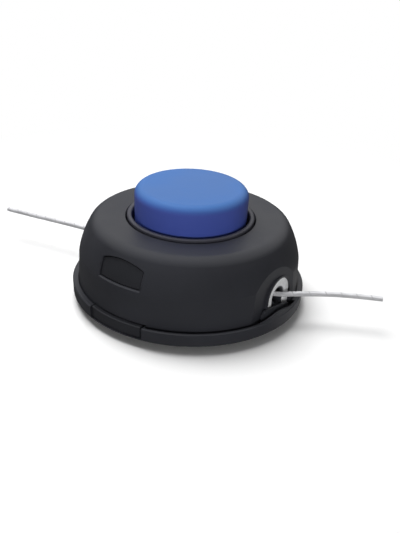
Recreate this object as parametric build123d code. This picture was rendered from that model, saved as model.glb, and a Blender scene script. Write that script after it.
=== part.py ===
from build123d import *
import os
from math import cos, radians, sin, tan

# Tap-feed trimmer head with two lines, in millimetres.
# Z is the spin axis, the eyelets lie on X and the latches on Y.
# Heights are measured from the foot of the base ring.
# The finished pieces are lifted to stand on the drive boss.

# Base
RING_R = 62.5
RING_H = 7.4
RING_EDGE = 0.5
FOOT_TAPER = 1.2
FOOT_RISE = 0.9
FOOT_W = 5.0
LEDGE_W = 3.2
SEAT_Z = 4.6
SEAT_W = 8.0
FLOOR_T = 2.0
FLOOR_TOP = 4.0
BOSS_R = 20.0
BOSS_DROP = 3.6
BOSS_EDGE = 0.6
DRIVE_SEAT_R = 17.0
DRIVE_SEAT_DEPTH = 2.0
RIB_COUNT = 12
RIB_W = 2.2
RIB_FOOT_Z = 0.8
ROOT = 1.0
PARTING_GAP = 0.3
GROOVE_W = 1.6
GROOVE_BITE = 0.2
GROOVE_START = -73.0
GROOVE_END = 12.0
WAVE_H = 2.8
WAVE_MIDDLE = -5.5
WAVE_HALF = 16.5

# Hub and drive nut
HUB_R = 15.5
NUT_FLATS = 19.0
NUT_H = 12.0
NUT_BORE_R = 5.05
NUT_CHAMFER = 0.8
NUT_FIT = 0.15
HUB_CLEAR = 4.0
SHAFT_HOLE_R = 6.6

# Cover
WALL = 2.4
TOP_Z = 42.0
CREASE_DROP = 18.7
COVER_DRAFT = 0.63
DOME_SETBACK = 5.68
DOME_BULGE = 0.69
SHOULDER_DROP = 3.35
HOLE_EDGE = 0.4
SCOOP_DEPTH = 2.8
SCOOP_TURN = -4.0
BACKING_W = 1.7
BACKING_H = 1.6

# Tap travel, and the lugs that index the spool
TRAVEL = 5.0
LUG_COUNT = 6
UPPER_LUG_DEG = 12.0
UPPER_LUG_ROOM = 8.0
LUG_NECK_GAP = 2.8
LUG_EDGE_GAP = 2.0
UPPER_GRIP = 2.8
LOWER_LUG_DEG = 5.0
LOWER_LUG_H = 3.2
LOWER_LUG_INSET = 0.4
LOWER_LUG_LEAD = 24.0
LUG_PLAY_DEG = 0.5
STOP_GAP = 0.3
RUN_GAP = 0.4

# Spool
LINE_ROOM = 10.4
FLANGE_T = 1.6
DRUM_SHARE = 2 / 3
DRUM_WALL = 3.0
NECK_WALL = 2.6
NECK_RISE = 1.4
NECK_EDGE = 1.0
NECK_GAP = 0.6
WEB_T = 3.6
POST_R = 7.5
POST_TIP_R = 5.9
POST_EDGE = 0.5
ANCHOR_W = 3.2
ANCHOR_DEPTH = 7.0
WINDING_DROP = 5.5
WINDING_CROWN = 1.2
WINDING_FIT = 0.05

# Knob
KNOB_R = 29.8
KNOB_GAP = 1.2
KNOB_DRAFT = 0.4
KNOB_RISE = 16.6
KNOB_FILLET = 4.8
KNOB_SINK = 4.5
KNOB_WALL = 3.2
KNOB_BOSS_R = 14.5
KNOB_RIBS = 6
KNOB_RIB_W = 2.0
KNOB_RIB_DROP = 10.0

# Ball bearing of the knob
BEARING_R = 11.0
BEARING_BORE_R = 4.0
BEARING_W = 7.0
BEARING_DROP = 1.0
BALL_R = 1.98
BALL_COUNT = 7
BALL_GAP = 0.1
RACE_HALF = 1.4
SHIELD_T = 0.3
SHIELD_INSET = 0.4
SHIELD_SEAT = 0.4
CAGE_W = 0.7
CAGE_H = 2.3
CIRCLIP_T = 1.0
CIRCLIP_BITE = 0.8
CIRCLIP_W = 2.2
CIRCLIP_GAP_DEG = 50.0
PRESS_GAP = 0.02

# Screw and bush that hold the bearing
SCREW_R = 2.5
SCREW_HEAD_R = 4.7
SCREW_HEAD_H = 3.2
SCREW_SOCKET = 4.0
SCREW_SOCKET_DEPTH = 2.2
SCREW_LENGTH = 14.5
SCREW_GAP = 0.05
SCREW_WASHER_R = 5.2
SCREW_WASHER_T = 0.8
BUSH_FLANGE_R = 5.9
BUSH_FLANGE_T = 1.6
BUSH_DEPTH = 5.0

# Spring and thrust washer
SPRING_R = 18.0
WIRE_R = 0.9
SPRING_TURNS = 5.0
WASHER_T = 1.5
FACE_GAP = 0.05

# Eyelets
EYE_Z = 14.0
EYE_SINK = 0.1
EYE_HOLE_R = 4.2
EYE_SLEEVE = 1.8
EYE_FLANGE = 6.0
EYE_FLANGE_T = 1.2
EYE_BACK_FLANGE = 3.4
EYE_FLARE = 2.2
EYE_WALL = 2.5
EYE_GAP = 0.12
EYE_RIM_W = 1.3
EYE_RIM_H = 0.7

# Latches
WINDOW_HALF = 12.85
WINDOW_RISE = 1.5
WINDOW_SIDE = 9.1
WINDOW_CROWN = 2.6
WINDOW_EDGE = 0.5
PAD_GAP = 0.5
PAD_INSET = 1.0
TONGUE_HALF = 15.6
TONGUE_INSET = 1.1
TONGUE_EDGE = 0.4
TONGUE_GAP = 0.3
SLIT_W = 1.5
STEP_W = 0.4
STRIP_H = 1.2
STRIP_W = 3.2
ARM_HALF = 11.0
ARM_T = 2.4
ARM_DEPTH = 7.1
ARM_OVERLAP = 1.8
NOTCH_GAP = 0.4
SWING_ROOM = 1.2

# Cutting line: route points of the two free ends, as distance out from the eyelet's face and place along Y
LINE_R = 1.35
ROUTE_RIGHT = [(-9.2, -1.3), (-2.0, 0.9), (8.0, 10.6), (24.6, 23.2), (42.5, 31.5)]
ROUTE_LEFT = [(-8.8, -0.6), (-1.9, -2.55), (11.2, -4.0), (32.1, -8.0), (52.6, -12.6), (70.8, -16.1)]
ARC_SHARE = 0.45

# Sizes that follow from the ones above
COVER_R = RING_R - LEDGE_W
SEAT_R = COVER_R + PARTING_GAP
FOOT_R = RING_R - FOOT_TAPER - FOOT_W
SCOOP_DIST = COVER_R - SCOOP_DEPTH
EYE_FACE = SCOOP_DIST - EYE_SINK
EYE_BACK = EYE_FACE - EYE_FLANGE_T
ARM_BACK = COVER_R - ARM_DEPTH
FLANGE_R = EYE_FACE - LINE_ROOM
WINDING_R = FLANGE_R - WINDING_DROP
DRUM_R = WINDING_R * DRUM_SHARE
NECK_R = KNOB_R + KNOB_GAP + NECK_WALL
FLOOR_Z = FLOOR_TOP - FLOOR_T
DRIVE_SEAT_Z = DRIVE_SEAT_DEPTH - BOSS_DROP
LOWER_LUG_TOP = FLOOR_TOP + LOWER_LUG_H
FLANGE_Z = LOWER_LUG_TOP + TRAVEL + RUN_GAP
SPOOL_LUG_FOOT = FLOOR_TOP + TRAVEL + RUN_GAP
COVER_UNDER = TOP_Z - WALL
SPOOL_LUG_TOP = COVER_UNDER - STOP_GAP
CREASE_Z = TOP_Z - CREASE_DROP
WINDOW_FOOT_Z = CREASE_Z + WINDOW_RISE
WINDOW_CORNER_Z = WINDOW_FOOT_Z + WINDOW_SIDE
WINDOW_TOP_Z = WINDOW_CORNER_Z + WINDOW_CROWN
FLANGE_TOP = COVER_UNDER - UPPER_LUG_ROOM
NECK_TOP = TOP_Z + NECK_RISE
WEB_Z = FLANGE_TOP - WEB_T
HUB_TOP = WEB_Z - TRAVEL - HUB_CLEAR
CHAMBER_H = (FLANGE_TOP - FLANGE_Z - 3 * FLANGE_T) / 2
DRUM_BORE_R = DRUM_R - DRUM_WALL
WASHER_Z = WEB_Z - FACE_GAP - WASHER_T
BEARING_Z = TOP_Z - BEARING_DROP
BEARING_TOP = BEARING_Z + BEARING_W
BALL_Z = BEARING_Z + BEARING_W / 2
BALL_PITCH_R = (BEARING_R + BEARING_BORE_R) / 2
GROOVE_R = BALL_R + BALL_GAP
KNOB_TOP = TOP_Z + KNOB_RISE
KNOB_FOOT_Z = TOP_Z - KNOB_SINK
KNOB_ROOF = KNOB_TOP - KNOB_WALL


def turned(*corners):
    """Solid of revolution about Z with a closed outline of (radius, height) corners."""
    outline = Polyline(*[(r, 0, z) for r, z in corners], close=True)
    return revolve(make_face(outline), Axis.Z)


def ring(inner_r, outer_r, low, high):
    """Plain ring about Z."""
    return turned((inner_r, low), (outer_r, low), (outer_r, high), (inner_r, high))


def sector(inner_r, outer_r, low, high, middle, width):
    """Piece of a ring, width degrees wide about the direction middle."""
    corners = [(inner_r, 0, low), (outer_r, 0, low), (outer_r, 0, high), (inner_r, 0, high)]
    piece = revolve(make_face(Polyline(*corners, close=True)), Axis.Z, width)
    return piece.rotate(Axis.Z, middle - width / 2)


def block(x, y, z):
    """Box from three (low, high) ranges."""
    centre = [(low + high) / 2 for low, high in (x, y, z)]
    sides = [high - low for low, high in (x, y, z)]
    return Pos(*centre) * Box(*sides)


def crown(piece, count):
    """Count copies of a piece, evenly spaced about Z."""
    return [piece.rotate(Axis.Z, 360 / count * i) for i in range(count)]


def pair(piece):
    """A piece and its copy half a turn round."""
    return [piece, piece.rotate(Axis.Z, 180)]


def rod(radius, low, high):
    """Full cylinder about Z between two heights."""
    return Pos(0, 0, low) * Cylinder(radius, high - low, align=(Align.CENTER, Align.CENTER, Align.MIN))


def lower_lug(low, high, middle):
    """Lower index lug, under the drum."""
    return sector(DRUM_BORE_R + LOWER_LUG_INSET, DRUM_R - LOWER_LUG_INSET, low, high, middle, LOWER_LUG_DEG)


def upper_lug(low, high, middle):
    """Upper index lug, between the top flange and the cover."""
    return sector(NECK_R + LUG_NECK_GAP, FLANGE_R - LUG_EDGE_GAP, low, high, middle, UPPER_LUG_DEG)


def arch(half_width, near, far, foot):
    """Upright arch across X between two distances, round over the eyelet's centre."""
    top = ThreePointArc((half_width, EYE_Z), (0, EYE_Z + half_width), (-half_width, EYE_Z))
    legs = Polyline((-half_width, EYE_Z), (-half_width, foot), (half_width, foot), (half_width, EYE_Z))
    return extrude(Plane.YZ.offset(near) * make_face(top + legs), far - near)


def dome_form(inset):
    """Solid inside the cover's outer surface, moved inwards by inset."""
    crease = Vector(COVER_R - COVER_DRAFT, 0, CREASE_Z)
    dome_end = Vector(crease.X - DOME_SETBACK, 0, TOP_Z - SHOULDER_DROP)
    chord = dome_end - crease
    outward = Vector(chord.Z, 0, -chord.X).normalized()
    radius = (chord.length**2 / 4 + DOME_BULGE**2) / (2 * DOME_BULGE)
    middle = (crease + dome_end) * 0.5 + outward * DOME_BULGE
    centre = middle - outward * radius
    low_dir = (crease - centre).normalized()
    high_dir = (dome_end - centre).normalized()
    reach = radius - inset
    wall_top = centre + low_dir * reach
    dome_top = centre + high_dir * reach
    shoulder_r = SHOULDER_DROP / (1 - high_dir.Z)
    roof_edge = Vector(dome_end.X - shoulder_r * high_dir.X, 0, TOP_Z - inset)
    wall = Line((COVER_R - inset, 0, SEAT_Z), wall_top)
    dome = ThreePointArc(wall_top, centre + outward * reach, dome_top)
    shoulder = TangentArc(dome_top, roof_edge, tangent=Vector(-high_dir.Z, 0, high_dir.X))
    roof = Polyline(roof_edge, (0, 0, TOP_Z - inset), (0, 0, SEAT_Z), (COVER_R - inset, 0, SEAT_Z))
    return revolve(make_face(wall + dome + shoulder + roof), Axis.Z)


def make_base_housing():
    """Base with its ring, floor, hub, drive boss, stop lugs and eyelet posts."""
    body = turned(
        (0, DRIVE_SEAT_Z),
        (DRIVE_SEAT_R, DRIVE_SEAT_Z),
        (DRIVE_SEAT_R, -BOSS_DROP),
        (BOSS_R - BOSS_EDGE, -BOSS_DROP),
        (BOSS_R, BOSS_EDGE - BOSS_DROP),
        (BOSS_R, FLOOR_Z),
        (FOOT_R, FLOOR_Z),
        (FOOT_R, 0),
        (RING_R - FOOT_TAPER, 0),
        (RING_R - RING_EDGE / 2, FOOT_RISE),
        (RING_R, RING_H - RING_EDGE),
        (RING_R - RING_EDGE, RING_H),
        (SEAT_R, RING_H),
        (SEAT_R, SEAT_Z),
        (RING_R - SEAT_W, SEAT_Z),
        (RING_R - SEAT_W, FLOOR_TOP),
        (HUB_R, FLOOR_TOP),
        (HUB_R, HUB_TOP),
        (0, HUB_TOP),
    )
    rib = block((BOSS_R - ROOT, FOOT_R + ROOT), (-RIB_W / 2, RIB_W / 2), (RIB_FOOT_Z, FLOOR_Z))
    body += crown(rib, RIB_COUNT)
    body += pair(make_wave())
    groove_width = GROOVE_END - GROOVE_START
    groove_middle = (GROOVE_END + GROOVE_START) / 2
    groove_top = RING_H + 2 * WAVE_H
    groove = sector(SEAT_R - GROOVE_BITE, SEAT_R + GROOVE_W, SEAT_Z, groove_top, groove_middle, groove_width)
    body -= pair(groove)
    body += crown(lower_lug(FLOOR_Z + FLOOR_T / 4, LOWER_LUG_TOP, LOWER_LUG_LEAD), LUG_COUNT)
    post_half = EYE_HOLE_R - EYE_GAP
    post_back = EYE_BACK - EYE_WALL - EYE_FLANGE_T
    post = block((post_back, EYE_FACE), (-post_half, post_half), (FLOOR_Z + FLOOR_T / 4, EYE_Z))
    post -= Pos(EYE_FACE, 0, EYE_Z) * Rot(0, 90, 0) * Cylinder(EYE_HOLE_R, 4 * EYE_FLANGE)
    body += pair(post)
    body -= pair(make_latch_room())
    nut_seat = HUB_TOP - NUT_H
    pocket = RegularPolygon(NUT_FLATS / 2 + NUT_FIT, 6, major_radius=False)
    body -= Pos(0, 0, nut_seat) * extrude(pocket, NUT_H + ROOT)
    body -= rod(SHAFT_HOLE_R, DRIVE_SEAT_Z - ROOT, nut_seat + ROOT)
    return body


def make_wave():
    """Low wave of the ring's wall in front of the right eyelet."""
    start, peak, end = [
        RING_R * sin(radians(WAVE_MIDDLE + step)) for step in (-WAVE_HALF, 0, WAVE_HALF)
    ]
    rise = Spline((start, RING_H), (peak, RING_H + WAVE_H), (end, RING_H), tangents=[(1, 0), (1, 0)])
    under = Polyline((end, RING_H), (end, SEAT_Z), (start, SEAT_Z), (start, RING_H))
    slab = extrude(Plane.YZ * make_face(rise + under), RING_R + 1)
    return slab & ring(SEAT_R, RING_R - RING_EDGE / 2, SEAT_Z, RING_H + 2 * WAVE_H)


def make_latch_room():
    """Room in the base for the front latch: a slit, a step and an open floor."""
    sides = (-TONGUE_HALF - STEP_W, TONGUE_HALF + SLIT_W)
    reach = RING_R + 1
    tongue_room = block(sides, (-reach, -ARM_BACK + SWING_ROOM), (STRIP_H, RING_H + 1))
    floor_room = block(sides, (-reach, -ARM_BACK + SWING_ROOM), (-1, RING_H + 1))
    strip = ring(RING_R - STRIP_W, RING_R + 1, -1, STRIP_H)
    return tongue_room + (floor_room - strip)


def make_drive_nut():
    """Hexagon nut with the drive thread's bore, chamfered on both faces."""
    corner_r = NUT_FLATS / 2 / cos(radians(30))
    low = HUB_TOP - NUT_H
    blank = Pos(0, 0, low) * extrude(RegularPolygon(NUT_FLATS / 2, 6, major_radius=False), NUT_H)
    turn_r = corner_r - NUT_CHAMFER
    lathe = turned(
        (NUT_BORE_R, low),
        (turn_r, low),
        (corner_r, low + NUT_CHAMFER / 2),
        (corner_r, HUB_TOP - NUT_CHAMFER / 2),
        (turn_r, HUB_TOP),
        (NUT_BORE_R, HUB_TOP),
    )
    return blank & lathe


def make_cover():
    """Dome with its neck hole, index lugs, eyelet scoops and latch windows."""
    outer = dome_form(0)
    inner = dome_form(WALL)
    wall_back = EYE_BACK - EYE_WALL + EYE_GAP
    rim_half = EYE_HOLE_R + EYE_FLANGE + EYE_RIM_W
    backing_half = BACKING_W * rim_half
    backing_top = EYE_Z + BACKING_H * rim_half
    backing = block((wall_back, RING_R), (-backing_half, backing_half), (SEAT_Z, backing_top)) & outer
    body = outer - inner
    body += pair(backing)
    body -= make_neck_hole()
    lug_turn = UPPER_LUG_DEG + LUG_PLAY_DEG
    lug_low = SPOOL_LUG_TOP - UPPER_GRIP
    body += crown(upper_lug(lug_low, COVER_UNDER + WALL / 2, lug_turn), LUG_COUNT)
    scoop = block((SCOOP_DIST, 2 * RING_R), (-RING_R, RING_R), (0, TOP_Z)).rotate(Axis.Z, SCOOP_TURN)
    body -= pair(scoop)
    rim = arch(rim_half, wall_back, SCOOP_DIST + EYE_RIM_H, SEAT_Z)
    body += pair(rim)
    body -= pair(arch(EYE_HOLE_R + EYE_FLANGE + EYE_GAP, EYE_BACK - EYE_GAP, RING_R, 0))
    body -= pair(arch(EYE_HOLE_R + EYE_SLEEVE + EYE_GAP, wall_back - 1, RING_R, 0))
    body -= pair(make_window(0, ARM_BACK - SWING_ROOM, RING_R))
    sides = (-TONGUE_HALF - STEP_W, TONGUE_HALF + SLIT_W)
    notch = block(sides, (-RING_R, -ARM_BACK + SWING_ROOM), (0, RING_H + NOTCH_GAP))
    body -= pair(notch)
    return chamfer(window_rims(body, outer), WINDOW_EDGE)


def make_neck_hole():
    """Cutter of the cover's neck hole, with a bevelled upper edge."""
    hole_r = NECK_R + NECK_GAP
    return turned(
        (0, COVER_UNDER - ROOT),
        (hole_r, COVER_UNDER - ROOT),
        (hole_r, TOP_Z - HOLE_EDGE),
        (hole_r + HOLE_EDGE, TOP_Z),
        (hole_r + HOLE_EDGE, TOP_Z + ROOT),
        (0, TOP_Z + ROOT),
    )


def window_rims(cover, outer):
    """Edges of the two windows that lie on the cover's outer surface."""
    skin = outer.faces()
    rims = []
    for edge in cover.edges():
        middle = edge @ 0.5
        across = abs(middle.X) <= WINDOW_HALF + FACE_GAP
        upright = WINDOW_FOOT_Z - FACE_GAP <= middle.Z <= WINDOW_TOP_Z + FACE_GAP
        on_skin = min(face.distance_to(middle) for face in skin) < FACE_GAP
        if across and upright and on_skin:
            rims.append(edge)
    return rims


def make_window(gap, near, far):
    """Block of the front window's outline, smaller by gap, between two distances from the axis."""
    half = WINDOW_HALF - gap
    foot = WINDOW_FOOT_Z + gap
    corner = WINDOW_CORNER_Z - gap
    top = ThreePointArc((half, corner), (0, WINDOW_TOP_Z - gap), (-half, corner))
    sides = Polyline((-half, corner), (-half, foot), (half, foot), (half, corner))
    return extrude(Plane.XZ.offset(near) * make_face(top + sides), far - near)


def make_latch_tab():
    """Front latch: tongue in the ring, arm behind the cover and pad in the window."""
    tongue_top = RING_H - NOTCH_GAP / 4
    tongue_r = RING_R - TONGUE_INSET
    tongue_sides = (-TONGUE_HALF, TONGUE_HALF)
    tongue = block(tongue_sides, (-RING_R, -ARM_BACK), (STRIP_H + TONGUE_GAP, tongue_top))
    tongue &= turned(
        (0, 0),
        (tongue_r, 0),
        (tongue_r, tongue_top - TONGUE_EDGE),
        (tongue_r - TONGUE_EDGE, tongue_top),
        (0, tongue_top),
    )
    hollow = block(
        (-TONGUE_HALF + ARM_T, TONGUE_HALF - ARM_T),
        (-COVER_R + ARM_T, -ARM_BACK - ARM_T),
        (0, tongue_top - ARM_T),
    )
    arm_top = WINDOW_FOOT_Z + ARM_OVERLAP
    arm = block((-ARM_HALF, ARM_HALF), (-ARM_BACK - ARM_T, -ARM_BACK), (RING_H / 2, arm_top))
    pad = make_window(PAD_GAP, ARM_BACK, RING_R) & dome_form(PAD_INSET)
    return tongue - hollow + arm + pad


def make_eyelet():
    """Right eyelet: an arch open at its foot, flanged on both sides of the cover's wall."""
    back = EYE_BACK - EYE_WALL
    body = arch(EYE_HOLE_R + EYE_FLANGE, EYE_BACK, EYE_FACE, SEAT_Z)
    body += arch(EYE_HOLE_R + EYE_SLEEVE, back, EYE_BACK, SEAT_Z)
    body += arch(EYE_HOLE_R + EYE_BACK_FLANGE, back - EYE_FLANGE_T, back, SEAT_Z)
    body -= arch(EYE_HOLE_R, back - 2 * EYE_FLANGE_T, EYE_FACE + 1, 0)
    centre = Vector(EYE_FACE, 0, EYE_Z)
    mouth = []
    for edge in body.faces().sort_by(Axis.X)[-1].edges():
        nearest = min((edge @ t - centre).length for t in (0, 0.5, 1))
        if nearest < EYE_HOLE_R + RUN_GAP:
            mouth.append(edge)
    return fillet(mouth, EYE_FLARE)


def make_spool():
    """Two-chamber spool with its neck, lugs, bearing post and screw bore."""
    middle = FLANGE_Z + FLANGE_T + CHAMBER_H
    body = turned(
        (0, WEB_Z),
        (DRUM_BORE_R, WEB_Z),
        (DRUM_BORE_R, FLANGE_Z),
        (FLANGE_R, FLANGE_Z),
        (FLANGE_R, FLANGE_Z + FLANGE_T),
        (DRUM_R, FLANGE_Z + FLANGE_T),
        (DRUM_R, middle),
        (FLANGE_R, middle),
        (FLANGE_R, middle + FLANGE_T),
        (DRUM_R, middle + FLANGE_T),
        (DRUM_R, FLANGE_TOP - FLANGE_T),
        (FLANGE_R, FLANGE_TOP - FLANGE_T),
        (FLANGE_R, FLANGE_TOP),
        (NECK_R, FLANGE_TOP),
        (NECK_R, NECK_TOP),
        (NECK_R - NECK_WALL, NECK_TOP),
        (NECK_R - NECK_WALL, FLANGE_TOP),
        (POST_R, FLANGE_TOP),
        (POST_R, BEARING_Z - 2 * POST_EDGE),
        (POST_TIP_R, BEARING_Z - POST_EDGE),
        (POST_TIP_R, BEARING_Z),
        (0, BEARING_Z),
    )
    body = fillet(body.edges().group_by(Axis.Z)[-1], NECK_EDGE)
    body += crown(upper_lug(FLANGE_TOP - FLANGE_T / 2, SPOOL_LUG_TOP, 0), LUG_COUNT)
    body += crown(lower_lug(SPOOL_LUG_FOOT, FLANGE_Z + FLANGE_T / 2, 0), LUG_COUNT)
    anchor = block(
        (FLANGE_R - ANCHOR_DEPTH, FLANGE_R + ROOT),
        (-ANCHOR_W / 2, ANCHOR_W / 2),
        (middle - ROOT, middle + FLANGE_T + ROOT),
    )
    body -= pair(anchor)
    head_room = SCREW_WASHER_T + SCREW_HEAD_H + 2 * RUN_GAP
    body -= rod(SCREW_WASHER_R + RUN_GAP, WEB_Z - 1, WEB_Z + head_room)
    body -= rod(SCREW_R + SCREW_GAP, WEB_Z, BEARING_Z)
    body -= rod(BEARING_BORE_R, BEARING_Z - BUSH_DEPTH, BEARING_Z + 1)
    return body


def make_winding(low):
    """Line wound in one chamber, as one ring with a crowned outside."""
    inner = DRUM_R + WINDING_FIT
    high = low + CHAMBER_H - 2 * WINDING_FIT
    low += WINDING_FIT
    crest = (WINDING_R + WINDING_CROWN, 0, (low + high) / 2)
    outside = ThreePointArc((WINDING_R, 0, low), crest, (WINDING_R, 0, high))
    sides = Polyline((WINDING_R, 0, high), (inner, 0, high), (inner, 0, low), (WINDING_R, 0, low))
    return revolve(make_face(outside + sides), Axis.Z)


def make_tap_knob():
    """Knob: a hollow cap with a bearing boss and radial ribs."""
    low_r = KNOB_R - KNOB_DRAFT
    inner_r = low_r - KNOB_WALL
    seat_r = BEARING_R + PRESS_GAP
    foot = BEARING_Z - CIRCLIP_T - 3 * FACE_GAP - 2 * CIRCLIP_T
    groove_low = BEARING_Z - CIRCLIP_T - 3 * FACE_GAP
    shoulder_r = BEARING_R - RACE_HALF
    side = Line((low_r, 0, KNOB_FOOT_Z), (KNOB_R, 0, KNOB_TOP - KNOB_FILLET))
    edge = TangentArc(side @ 1, (KNOB_R - KNOB_FILLET, 0, KNOB_TOP), tangent=side % 1)
    inside = Polyline(
        edge @ 1,
        (0, 0, KNOB_TOP),
        (0, 0, KNOB_ROOF),
        (shoulder_r, 0, KNOB_ROOF),
        (shoulder_r, 0, BEARING_TOP + PRESS_GAP),
        (seat_r, 0, BEARING_TOP + PRESS_GAP),
        (seat_r, 0, BEARING_Z),
        (BEARING_R + CIRCLIP_BITE + FACE_GAP, 0, BEARING_Z),
        (BEARING_R + CIRCLIP_BITE + FACE_GAP, 0, groove_low),
        (seat_r, 0, groove_low),
        (seat_r, 0, foot),
        (KNOB_BOSS_R, 0, foot),
        (KNOB_BOSS_R, 0, KNOB_ROOF),
        (inner_r, 0, KNOB_ROOF),
        (inner_r, 0, KNOB_FOOT_Z),
        (low_r, 0, KNOB_FOOT_Z),
    )
    body = revolve(make_face(side + edge + inside), Axis.Z)
    rib = block(
        (KNOB_BOSS_R - ROOT, inner_r + ROOT),
        (-KNOB_RIB_W / 2, KNOB_RIB_W / 2),
        (KNOB_ROOF - KNOB_RIB_DROP, KNOB_ROOF + ROOT),
    )
    return body + crown(rib, KNOB_RIBS)


def make_race(inner_r, outer_r):
    """Bearing ring with its ball groove cut as a torus."""
    blank = ring(inner_r, outer_r, BEARING_Z, BEARING_TOP)
    return blank - Pos(0, 0, BALL_Z) * Torus(BALL_PITCH_R, GROOVE_R)


def make_outer_ring():
    """Outer ring with the seats of the two shields."""
    body = make_race(BALL_PITCH_R + RACE_HALF, BEARING_R)
    for low in (BEARING_Z - 1, BEARING_TOP - SHIELD_INSET - SHIELD_T - FACE_GAP):
        high = low + 1 + SHIELD_INSET + SHIELD_T + FACE_GAP
        body -= rod(BALL_PITCH_R + RACE_HALF + SHIELD_SEAT, low, high)
    return body


def make_shield(low):
    """Thin shield disc of the bearing."""
    inner_r = BALL_PITCH_R - RACE_HALF + STOP_GAP
    return ring(inner_r, BALL_PITCH_R + RACE_HALF + SHIELD_SEAT - PRESS_GAP, low, low + SHIELD_T)


def make_balls():
    """The bearing's balls."""
    return Compound(crown(Pos(BALL_PITCH_R, 0, BALL_Z) * Sphere(BALL_R), BALL_COUNT))


def make_cage():
    """Cage ring with a pocket for each ball."""
    body = ring(BALL_PITCH_R - CAGE_W / 2, BALL_PITCH_R + CAGE_W / 2, BALL_Z - CAGE_H, BALL_Z + CAGE_H / 4)
    pocket = Pos(BALL_PITCH_R, 0, BALL_Z) * Sphere(GROOVE_R)
    return body - crown(pocket, BALL_COUNT)


def make_circlip():
    """Open retaining ring in the knob's groove."""
    low = BEARING_Z - CIRCLIP_T - FACE_GAP
    outer_r = BEARING_R + CIRCLIP_BITE
    span = 360 - CIRCLIP_GAP_DEG
    return sector(outer_r - CIRCLIP_W, outer_r, low, low + CIRCLIP_T, 0, span)


def make_screw():
    """Screw from below, with a domed head and a hexagon socket."""
    seat = WEB_Z + SCREW_HEAD_H + 2 * RUN_GAP
    low = seat - SCREW_HEAD_H
    body = rod(SCREW_HEAD_R, low, seat) + rod(SCREW_R, low, seat + SCREW_LENGTH)
    body = chamfer(body.faces().sort_by(Axis.Z)[0].edges(), SCREW_HEAD_H / 4)
    socket = RegularPolygon(SCREW_SOCKET / 2, 6, major_radius=False)
    return body - Pos(0, 0, low) * extrude(socket, SCREW_SOCKET_DEPTH)


def make_screw_washer():
    """Washer between the screw's head and the spool."""
    low = WEB_Z + SCREW_HEAD_H + 2 * RUN_GAP
    return ring(SCREW_R + SCREW_GAP, SCREW_WASHER_R, low, low + SCREW_WASHER_T)


def make_bush():
    """Flanged threaded bush through the bearing's inner ring."""
    foot = BEARING_Z - BUSH_DEPTH
    shank_r = BEARING_BORE_R - PRESS_GAP
    body = rod(shank_r, foot, BEARING_TOP) + rod(BUSH_FLANGE_R, BEARING_TOP, BEARING_TOP + BUSH_FLANGE_T)
    return body - rod(SCREW_R + SCREW_GAP, foot, BEARING_TOP + BUSH_FLANGE_T / 2)


def make_spring():
    """Compression spring with ground ends, between the floor and the thrust washer."""
    length = WASHER_Z - FLOOR_TOP - 2 * FACE_GAP
    low = FLOOR_TOP + FACE_GAP
    path = Pos(0, 0, low) * Helix(length / SPRING_TURNS, length, SPRING_R)
    section = Plane(path @ 0, z_dir=path % 0) * Circle(WIRE_R)
    coil = sweep(section, path=path, is_frenet=True)
    return coil & ring(SPRING_R - 2 * WIRE_R, SPRING_R + 2 * WIRE_R, low, low + length)


def make_thrust_washer():
    """Washer between the spring and the spool's web."""
    return ring(SPRING_R - 2 * WIRE_R, DRUM_BORE_R - STOP_GAP, WASHER_Z, WASHER_Z + WASHER_T)


def make_line(name, route, side):
    """Free end of the line on one side: straight runs joined by arcs as large as the runs allow."""
    points = [Vector(side * (EYE_FACE + out), y, EYE_Z) for out, y in route]
    runs = [after - before for before, after in zip(points, points[1:])]
    radii = []
    for before, after in zip(runs, runs[1:]):
        half_turn = radians(before.get_angle(after) / 2)
        radii.append(ARC_SHARE * min(before.length, after.length) / tan(half_turn))
    path = FilletPolyline(*points, radius=radii)
    line = sweep(Plane(points[0], z_dir=runs[0]) * Circle(LINE_R), path=path)
    print(name, "length", round(path.length, 2), "radii", [round(radius, 1) for radius in radii])
    return line


def main():
    """Build every piece, lift it onto the drive boss and write it to its own file."""
    latch = make_latch_tab()
    eyelet = make_eyelet()
    pieces = {
        "base_housing": make_base_housing(),
        "drive_nut": make_drive_nut(),
        "cover": make_cover(),
        "latch_tab_front": latch,
        "latch_tab_rear": latch.rotate(Axis.Z, 180),
        "eyelet_right": eyelet,
        "eyelet_left": eyelet.rotate(Axis.Z, 180),
        "line_right": make_line("line_right", ROUTE_RIGHT, 1),
        "line_left": make_line("line_left", ROUTE_LEFT, -1),
        "spool": make_spool(),
        "line_winding_lower": make_winding(FLANGE_Z + FLANGE_T),
        "line_winding_upper": make_winding(FLANGE_Z + 2 * FLANGE_T + CHAMBER_H),
        "tap_knob": make_tap_knob(),
        "bearing_inner_ring": make_race(BEARING_BORE_R, BALL_PITCH_R - RACE_HALF),
        "bearing_outer_ring": make_outer_ring(),
        "bearing_balls": make_balls(),
        "bearing_cage": make_cage(),
        "bearing_shield_lower": make_shield(BEARING_Z + SHIELD_INSET),
        "bearing_shield_upper": make_shield(BEARING_TOP - SHIELD_INSET - SHIELD_T),
        "circlip": make_circlip(),
        "knob_screw": make_screw(),
        "screw_washer": make_screw_washer(),
        "bearing_bush": make_bush(),
        "spring": make_spring(),
        "thrust_washer": make_thrust_washer(),
    }
    os.makedirs("parts", exist_ok=True)
    for name, piece in pieces.items():
        export_step(Pos(0, 0, BOSS_DROP) * piece, f"parts/{name}.step")


main()
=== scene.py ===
import logging
from dataclasses import dataclass, field
from enum import Enum
from math import cos, radians, sin, tau

import bpy
from mathutils import Matrix, Vector


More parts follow.
